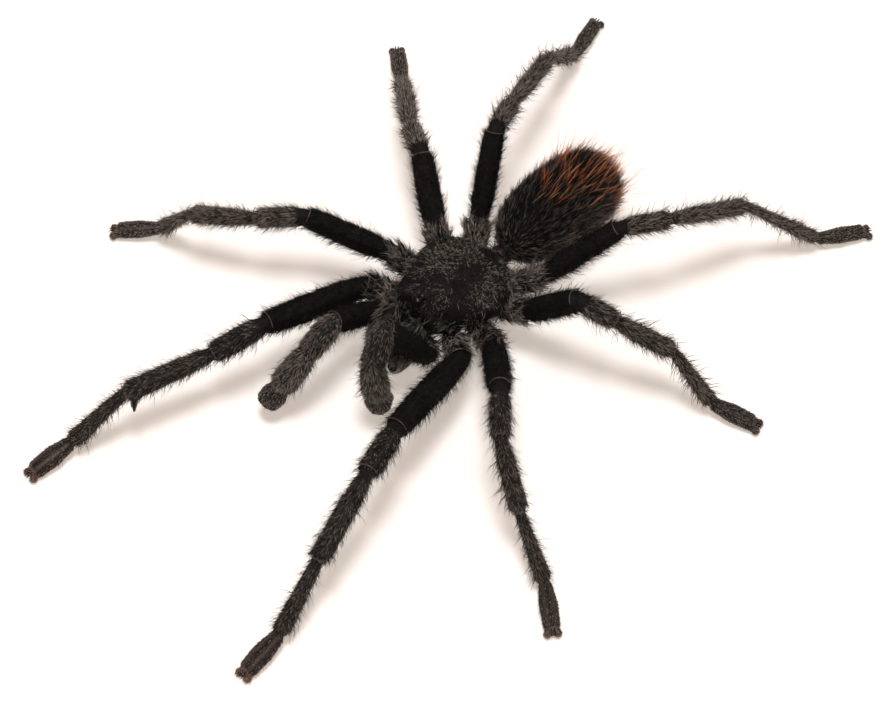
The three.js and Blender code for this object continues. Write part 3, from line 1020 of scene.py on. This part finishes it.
class SPECIMEN_OT_carapace(bpy.types.Operator):
    """Skin and short fur of the carapace"""

    bl_idname = "specimen.carapace"
    bl_label = "Carapace"

    def execute(self, context):
        fur, colours = context.scene.specimen_fur, context.scene.specimen_colours
        skin = sunk_copy("carapace", voxel=0.25, sink=0.22, rounds=5)
        points, normals, _ = surface_of(skin)
        upper = np.clip(normals[:, 2] * 2 - 0.4, 0, 1)
        move_points(skin, points - normals * (groove_depth(points) * upper)[:, None])
        points = points_of(skin)
        pit = np.exp(-(np.linalg.norm((points - placed(PIT)) * (0.7, 1.4, 0.8), axis=1) ** 2))
        mark(skin, fade=0.35 + 0.4 * patches(points, 3, 3), membrane=pit * 0.15)
        finish_piece(skin, skin_material(colours), "carapace_fur", "carapace")
        mound = placed(EYE_MOUND)

        def weight(points, _):
            off = np.linalg.norm((points - mound) / (EYE_MOUND_SIZE * 1.2), axis=1)
            return np.clip((off - 0.95) * 4, 0.05, 1)

        def edge_weight(points, normals):
            clear = np.clip((np.linalg.norm(points - mound, axis=1) - 2) / 1.5, 0, 1)
            return np.clip(1.25 - normals[:, 2] * 2.2, 0.03, 1) * (normals[:, 2] > -0.5) * clear

        def tune(rng, points, _):
            count = len(points)
            ahead = np.clip((placed((0, -3, 0))[1] - points[:, 1]) / 4, 0, 0.8)
            # Pale grey-green hairs in patches: partly their own colour, partly painted glints of light
            pale_and_glint = np.clip(2.5 * patches(points, 0.7, 11) * patches(points, 4, 12) - 0.25, 0.02, 0.85)
            shade = rng.normal(0.05, 0.04, count)
            shade = with_some(rng, shade, pale_and_glint * (1 - ahead), (0.6, 0.88))
            front = np.clip((placed((0, -7.4, 0))[1] - points[:, 1]) / 1.6, 0, 1)
            rust = rng.random(count) < 0.2 * front
            return np.ones(count), np.where(rust, 0.97, shade)

        def tune_edge(rng, points, _):
            pale = 0.15 + 0.5 * patches(points, 1.4, 14)
            return np.ones(len(points)), either(rng, len(points), pale, (0.5, 0.86), (0, 0.2))

        rng = np.random.default_rng(21)
        surface = surface_of(skin)
        density, thick = fur.body_density, fur.thickness / MM
        short = Coat(density, (0.25, 0.5), (8, 40), thick * 0.9, stray=1.3, clump=(0.28, 0.3), alike=0.4)
        long = Coat(2.2, (0.8, 1.4), (22, 60), thick * 0.75, 2, (0.1, 0.5), 0.5)
        fringe = Coat(9, (1.2, 2.3), (8, 42), thick * 0.8, 2, (0.1, 0.7), 0.45, 0.06, (0.8, 0.45), 0.7)
        parts = [
            grow(rng, surface, toward_margin, short, weight, tune),
            grow(rng, surface, toward_margin, long, weight, tune),
            grow(rng, surface, toward_margin, fringe, edge_weight, tune_edge),
        ]
        finish_piece(hair_object("carapace_fur", parts), body_hair(colours), "carapace_fur")
        return {"FINISHED"}


class SPECIMEN_OT_eyes(bpy.types.Operator):
    """The eight eyes on their mound"""

    bl_idname = "specimen.eyes"
    bl_label = "Eyes"

    # Each eye of the left side: how far to the side and back it looks out of the mound, in degrees above
    # level, then its radius in mm and how much longer than wide it is
    LEFT_EYES = ((32, 50, 0.42, 1.0), (58, 12, 0.38, 1.3), (118, 24, 0.36, 1.3), (115, 58, 0.28, 1.2))

    def execute(self, context):
        eyes = []
        for sign in SIDES.values():
            for bearing, lift, radius, stretch in self.LEFT_EYES:
                eyes.append(self.eye(sign * math.radians(bearing), math.radians(lift), radius, stretch))
        whole = join_all(eyes, "eyes")
        bpy.ops.object.transform_apply(location=True, rotation=True, scale=True)
        finish_piece(whole, polished_horn(context.scene.specimen_colours), "fang")
        return {"FINISHED"}

    def eye(self, bearing, lift, radius, stretch):
        """A low dome with a rim, extruded from a disc and set on the mound."""
        way = np.array(
            [math.sin(bearing) * math.cos(lift), -math.cos(bearing) * math.cos(lift), math.sin(lift)]
        )
        place = placed(EYE_MOUND + way * EYE_MOUND_SIZE * 0.86)
        bpy.ops.object.select_all(action="DESELECT")
        bpy.ops.mesh.primitive_circle_add(
            vertices=20,
            radius=radius * 1.25 * MM,
            fill_type="NGON",
            location=place * MM,
            rotation=Vector(way).to_track_quat("Z", "Y").to_euler(),
        )
        eye = bpy.context.view_layer.objects.active
        bpy.ops.object.mode_set(mode="EDIT")
        bpy.ops.mesh.select_all(action="SELECT")
        middle = Vector(place * MM)
        profile = ((0.1, 1.0), (0.12, 0.84), (0.02, 0.8), (0.22, 0.93), (0.16, 0.8), (0.08, 0.55))
        for rise, share in profile:
            step = Vector(way) * rise * radius * 2 * MM
            middle = middle + step
            bpy.ops.mesh.extrude_region_move(TRANSFORM_OT_translate={"value": step})
            bpy.ops.transform.resize(value=(share, share, share), center_override=middle)
        bpy.ops.mesh.select_all(action="SELECT")
        bpy.ops.mesh.normals_make_consistent(inside=False)
        bpy.ops.object.mode_set(mode="OBJECT")
        eye.scale = (stretch, 1, 1)
        rounded = eye.modifiers.new("Round", "SUBSURF")
        rounded.levels = rounded.render_levels = 1
        apply_modifiers(eye)
        bpy.ops.object.shade_smooth()
        return eye


class SPECIMEN_OT_jaws(bpy.types.Operator):
    """The two chelicerae with their fur, and the fangs folded under them"""

    bl_idname = "specimen.jaws"
    bl_label = "Jaws"

    def execute(self, context):
        fur, colours = context.scene.specimen_fur, context.scene.specimen_colours
        thick = fur.thickness / MM
        short = Coat(24, (0.7, 1.1), (14, 38), thick * 0.9, clump=(0.45, 0.45), alike=0.7)
        guard = Coat(5, (1.3, 2.4), (22, 55), thick * 0.75, 2, (0.1, 0.5), 0.3, clump=(0.9, 0.3))
        for seed, side in enumerate(SIDES):
            node = f"chelicera_{side}"
            skin = sunk_copy(node, voxel=0.25, sink=0.18, rounds=5)
            mark(skin, fade=0.3 + 0.4 * patches(points_of(skin), 2, 5))
            finish_piece(skin, skin_material(colours), "carapace_fur", node)
            rng = np.random.default_rng(31 + seed)
            surface = surface_of(skin)
            parts = [grow(rng, surface, forward_down, hairs, None, self.tune) for hairs in (short, guard)]
            finish_piece(hair_object(node + "_fur", parts), body_hair(colours), "carapace_fur")
            self.fang(side, colours)
        return {"FINISHED"}

    def tune(self, rng, points, _):
        """Grey-green locks among the black."""
        count = len(points)
        shade = rng.normal(0.12, 0.06, count)
        shade = with_some(rng, shade, 0.3 + 0.6 * patches(points, 1.4, 13), (0.5, 0.82))
        return rng.uniform(0.8, 1.2, count), shade

    def fang(self, side, colours):
        """A fang, folded back in one curve and running out to a point."""
        start, bend, end = (placed(p) for p in FANG_PATHS[side])
        shares = np.linspace(0, 1, 9)
        path = [(1 - s) ** 2 * start + 2 * s * (1 - s) * bend + s * s * end for s in shares]
        radii = [0.85 * math.sqrt(max(1 - s * 0.98, 0.004)) for s in shares]
        horn = tapered(f"fang_{side}_horn", path, radii, 16)
        finish_piece(horn, polished_horn(colours), "fang", f"fang_{side}")


class SPECIMEN_OT_underside(bpy.types.Operator):
    """The sternum, the waist and the spinnerets"""

    bl_idname = "specimen.underside"
    bl_label = "Sternum, waist and spinnerets"

    def execute(self, context):
        fur, colours = context.scene.specimen_fur, context.scene.specimen_colours
        thick = fur.thickness / MM
        for seed, node in enumerate(("sternum", "spinneret_left", "spinneret_right")):
            skin = sunk_copy(node, voxel=0.2, sink=0.15, rounds=4)
            mark(skin, fade=0.4)
            finish_piece(skin, skin_material(colours), "underside_fur", node)
            hairs = Coat(24, (0.6, 1.1), (14, 42), thick, stray=0.25, clump=(0.7, 0.3))

            def tune(rng, points, _):
                return np.ones(len(points)), rng.normal(0.14, 0.07, len(points))

            parts = [grow(np.random.default_rng(41 + seed), surface_of(skin), backward, hairs, None, tune)]
            finish_piece(hair_object(node + "_fur", parts), abdomen_hair(colours), "underside_fur")
        waist = sunk_copy("pedicel", voxel=0.12, sink=0.02, rounds=6)
        look = leather_material("dried_membrane", linear("2E1813"), linear("120806"), wrinkle=0.4, rough=0.6)
        finish_piece(waist, look, "bare_skin", "pedicel")
        down = Coat(20, (1.0, 2.0), (25, 65), thick * 0.8, stray=0.6)

        def tune_down(rng, points, _):
            return np.ones(len(points)), rng.uniform(0, 0.4, len(points))

        parts = [grow(np.random.default_rng(47), surface_of(waist), backward, down, None, tune_down)]
        finish_piece(hair_object("pedicel_fur", parts), abdomen_hair(colours), "underside_fur")
        return {"FINISHED"}


class SPECIMEN_OT_abdomen(bpy.types.Operator):
    """Skin, coat and long russet hairs of the abdomen"""

    bl_idname = "specimen.abdomen"
    bl_label = "Abdomen"

    def execute(self, context):
        fur, colours = context.scene.specimen_fur, context.scene.specimen_colours
        skin = sunk_copy("abdomen", voxel=0.3, sink=0.4, rounds=6)
        mark(skin, fade=0.25)
        finish_piece(skin, skin_material(colours), "abdomen_fur", "abdomen")
        surface = surface_of(skin)
        front, rear = placed((0, 9.2, 0))[1], placed((0, 30.6, 0))[1]
        tuft_place = placed((-1.2, 25.5, 0))
        thick = fur.thickness / MM
        plume = fur.plume / MM

        def share(points):
            return (points[:, 1] - front) / (rear - front)

        def coat_tune(rng, points, normals):
            side = np.clip(0.9 - normals[:, 2], 0, 1)
            shade = rng.normal(0.05, 0.04, len(points)) + 0.04 * side
            pale = 0.14 + 0.55 * side * (0.4 + 1.2 * patches(points, 3, 19))
            shade = with_some(rng, shade, pale, (0.3, 0.5))
            rusty = 0.03 * np.clip((share(points) - 0.75) / 0.2, 0, 1)
            shade = with_some(rng, shade, rusty, (0.6, 0.8))
            return rng.uniform(0.85, 1.15, len(points)), shade

        def guard_tune(rng, points, normals):
            side = np.clip(1 - normals[:, 2], 0, 1)
            shade = either(rng, len(points), 0.15 + 0.35 * side, (0.36, 0.5), (0.02, 0.2))
            return np.clip(0.85 + 0.35 * share(points), 0.85, 1.3), shade

        def plume_weight(points, normals):
            edge = 0.22 + 0.42 * np.abs(normals[:, 0])
            rise = np.clip((share(points) - edge) / 0.22, 0, 1)
            clumps = np.clip((patches(points, 2, 17) - 0.25) * 3, 0.15, 1)
            return rise * np.clip(normals[:, 2] * 2 + 0.9, 0, 1) * clumps

        def plume_tune(rng, points, normals):
            off = (points[:, 0] - tuft_place[0]) / 1.5, (share(points) - 0.76) / 0.1
            dark = 0.1 + 0.85 * np.exp(-(off[0] ** 2) - off[1] ** 2)
            shade = either(rng, len(points), dark, (0.02, 0.3), (0.7, 0.99))
            return np.clip(rng.normal(0.85, 0.25, len(points)), 0.4, 1.35), shade

        rng = np.random.default_rng(51)
        density = fur.abdomen_density
        under = Coat(density, (0.9, 1.5), (12, 34), thick * 0.85, stray=0.16, clump=(0.36, 0.5), alike=0.45)
        guards = Coat(8, (1.3, 2.7), (32, 76), thick * 0.6, 2, (0.1, 0.7), 0.28, clump=(1.1, 0.08))
        lengths = (plume * 0.5, plume * 0.95)
        plumes = Coat(2.1, lengths, (20, 50), thick, 3, (-0.1, 0.5), 0.15, 0.05, (1.1, 0.08))
        wisps = Coat(1.8, (plume * 0.5, plume * 1.1), (34, 78), thick * 0.55, 3, (-0.2, 0.6), 0.3, 0.06)
        parts = [
            grow(rng, surface, backward, under, None, coat_tune),
            grow(rng, surface, backward, guards, None, guard_tune),
            grow(rng, surface, backward, plumes, plume_weight, plume_tune),
            grow(rng, surface, backward, wisps, plume_weight, plume_tune),
        ]
        finish_piece(hair_object("abdomen_fur", parts), abdomen_hair(colours), "abdomen_fur")
        return {"FINISHED"}


class SPECIMEN_OT_horn(bpy.types.Operator):
    """The claws, the mating hooks of the first legs and the bulbs of the palps"""

    bl_idname = "specimen.horn"
    bl_label = "Claws, hooks and bulbs"

    def execute(self, context):
        colours = context.scene.specimen_colours
        for name in POSES:
            rows = limb_segments(name)
            if name.startswith("pedipalp"):
                self.bulb(name, rows, colours)
                continue
            self.claws(name, rows, polished_horn(colours))
            if name.startswith("leg_1"):
                self.hooks(name, rows, polished_horn(colours))
        return {"FINISHED"}

    def bulb(self, name, rows, colours):
        """The bare bulb of a male's palp, a glossy red-brown pear."""
        _, centre, end, _ = rows[-1]
        back = unit(centre - end)
        path = [centre + back * 0.95, centre + back * 0.5, centre, centre - back * 1.1, end]
        look = leather_material("bulb_sclerite", colours.bulb, linear("160806"), wrinkle=0.4, rough=0.24)
        finish_piece(tapered(name + "_bulb", path, [0.2, 1.1, 1.25, 0.5, 0.04], 16), look, "fang")

    def claws(self, name, rows, look):
        """The two claws between the tufts of a foot."""
        _, ankle, toe, _ = rows[6]
        way = unit(toe - ankle)
        across = unit(np.cross(way, UP))
        claws = []
        for hand in (-1, 1):
            start = toe + across * hand * 0.22 + way * 0.3 + UP * 0.35
            path = [
                start - way * 0.3,
                start + way * 0.2 + UP * 0.1,
                start + way * 0.5 - UP * 0.05,
                start + way * 0.62 - UP * 0.4,
            ]
            claws.append(tapered("claw", path, [0.1, 0.1, 0.08, 0.015], 8))
        finish_piece(join_all(claws, name + "_claws"), look, "fang")

    def hooks(self, name, rows, look):
        """The mating hooks of a first leg."""
        hooks = []
        for _, start, end, _ in (row for row in rows if row[0] == "hook"):
            lean = unit(end - start)
            path = [start - lean * 0.5, start + lean * 0.6, start + lean * 1.5, end + lean * 0.1]
            hooks.append(tapered("hook", path, [0.52, 0.5, 0.42, 0.14], 12))
        finish_piece(join_all(hooks, name + "_hooks"), look, "fang")


class SPECIMEN_OT_studio(bpy.types.Operator):
    """The white floor, the soft light and the camera"""

    bl_idname = "specimen.studio"
    bl_label = "Studio"

    LOOK_AT = (5.0, -7.0, 5.0)
    FLOOR_SIZE = 6.0
    LIGHT_SIZE = 0.22
    LIGHT_OFFSET = (0.03, -0.03, 0.9)
    SENSOR_WIDTH = 36

    def execute(self, context):
        studio = context.scene.specimen_studio
        bpy.ops.object.select_all(action="DESELECT")
        bpy.ops.mesh.primitive_plane_add(size=self.FLOOR_SIZE, location=(0, 0, 0))
        floor = bpy.context.view_layer.objects.active
        floor.name = floor.data.name = "paper"
        floor.data.materials.append(paper_material(studio.floor, studio.lamp, studio.glow))
        middle = metres(self.LOOK_AT)
        bpy.ops.object.light_add(type="AREA", location=middle + Vector(self.LIGHT_OFFSET))
        key = bpy.context.view_layer.objects.active
        key.data.size = self.LIGHT_SIZE
        key.rotation_euler = (middle - key.location).to_track_quat("-Z", "Y").to_euler()
        # Brightness of paper under a small square light: watts over pi squared times the distance squared
        reach = (key.location - middle).length
        key.data.energy = studio.key * math.pi**2 * reach**2
        world = bpy.data.worlds.new("Studio")
        world.use_nodes = True
        world.node_tree.nodes["Background"].inputs["Color"].default_value = (*studio.room, 1)
        world.node_tree.nodes["Background"].inputs["Strength"].default_value = studio.fill
        context.scene.world = world
        context.scene.view_settings.view_transform = "Standard"
        a, e = math.radians(studio.azimuth), math.radians(studio.elevation)
        back = Vector((math.sin(a) * math.cos(e), -math.cos(a) * math.cos(e), math.sin(e)))
        bpy.ops.object.camera_add(location=middle + back * studio.distance)
        camera = bpy.context.view_layer.objects.active
        camera.rotation_euler = (-back).to_track_quat("-Z", "Y").to_euler()
        camera.data.lens = studio.lens
        camera.data.sensor_width = self.SENSOR_WIDTH
        context.scene.camera = camera
        return {"FINISHED"}


class SPECIMEN_PT_panel(bpy.types.Panel):
    """Lists the specimen's pieces and their settings"""

    bl_idname = "SPECIMEN_PT_panel"
    bl_label = "Specimen"
    bl_space_type = "VIEW_3D"
    bl_region_type = "UI"
    bl_category = "Specimen"

    def draw(self, context):
        for name in GROUPS:
            box = self.layout.box()
            settings = getattr(context.scene, name)
            for key in settings.__annotations__:
                box.prop(settings, key)
        for operator in OPERATORS:
            self.layout.operator(operator.bl_idname)


GROUPS = {
    "specimen_fur": SPECIMEN_PG_fur,
    "specimen_colours": SPECIMEN_PG_colours,
    "specimen_studio": SPECIMEN_PG_studio,
}
OPERATORS = (
    SPECIMEN_OT_studio,
    SPECIMEN_OT_carapace,
    SPECIMEN_OT_eyes,
    SPECIMEN_OT_jaws,
    SPECIMEN_OT_underside,
    SPECIMEN_OT_abdomen,
    SPECIMEN_OT_limbs,
    SPECIMEN_OT_horn,
)


def register():
    for group in GROUPS.values():
        bpy.utils.register_class(group)
    for operator in (*OPERATORS, SPECIMEN_PT_panel):
        bpy.utils.register_class(operator)
    for name, group in GROUPS.items():
        setattr(bpy.types.Scene, name, bpy.props.PointerProperty(type=group))


def unregister():
    for name in GROUPS:
        delattr(bpy.types.Scene, name)
    for made in (SPECIMEN_PT_panel, *reversed(OPERATORS), *GROUPS.values()):
        bpy.utils.unregister_class(made)


def main():
    register()
    bpy.ops.specimen.studio()
    bpy.ops.specimen.carapace()
    bpy.ops.specimen.eyes()
    bpy.ops.specimen.jaws()
    bpy.ops.specimen.underside()
    bpy.ops.specimen.abdomen()
    bpy.ops.specimen.limbs()
    bpy.ops.specimen.horn()


if __name__ == "__main__":
    main()
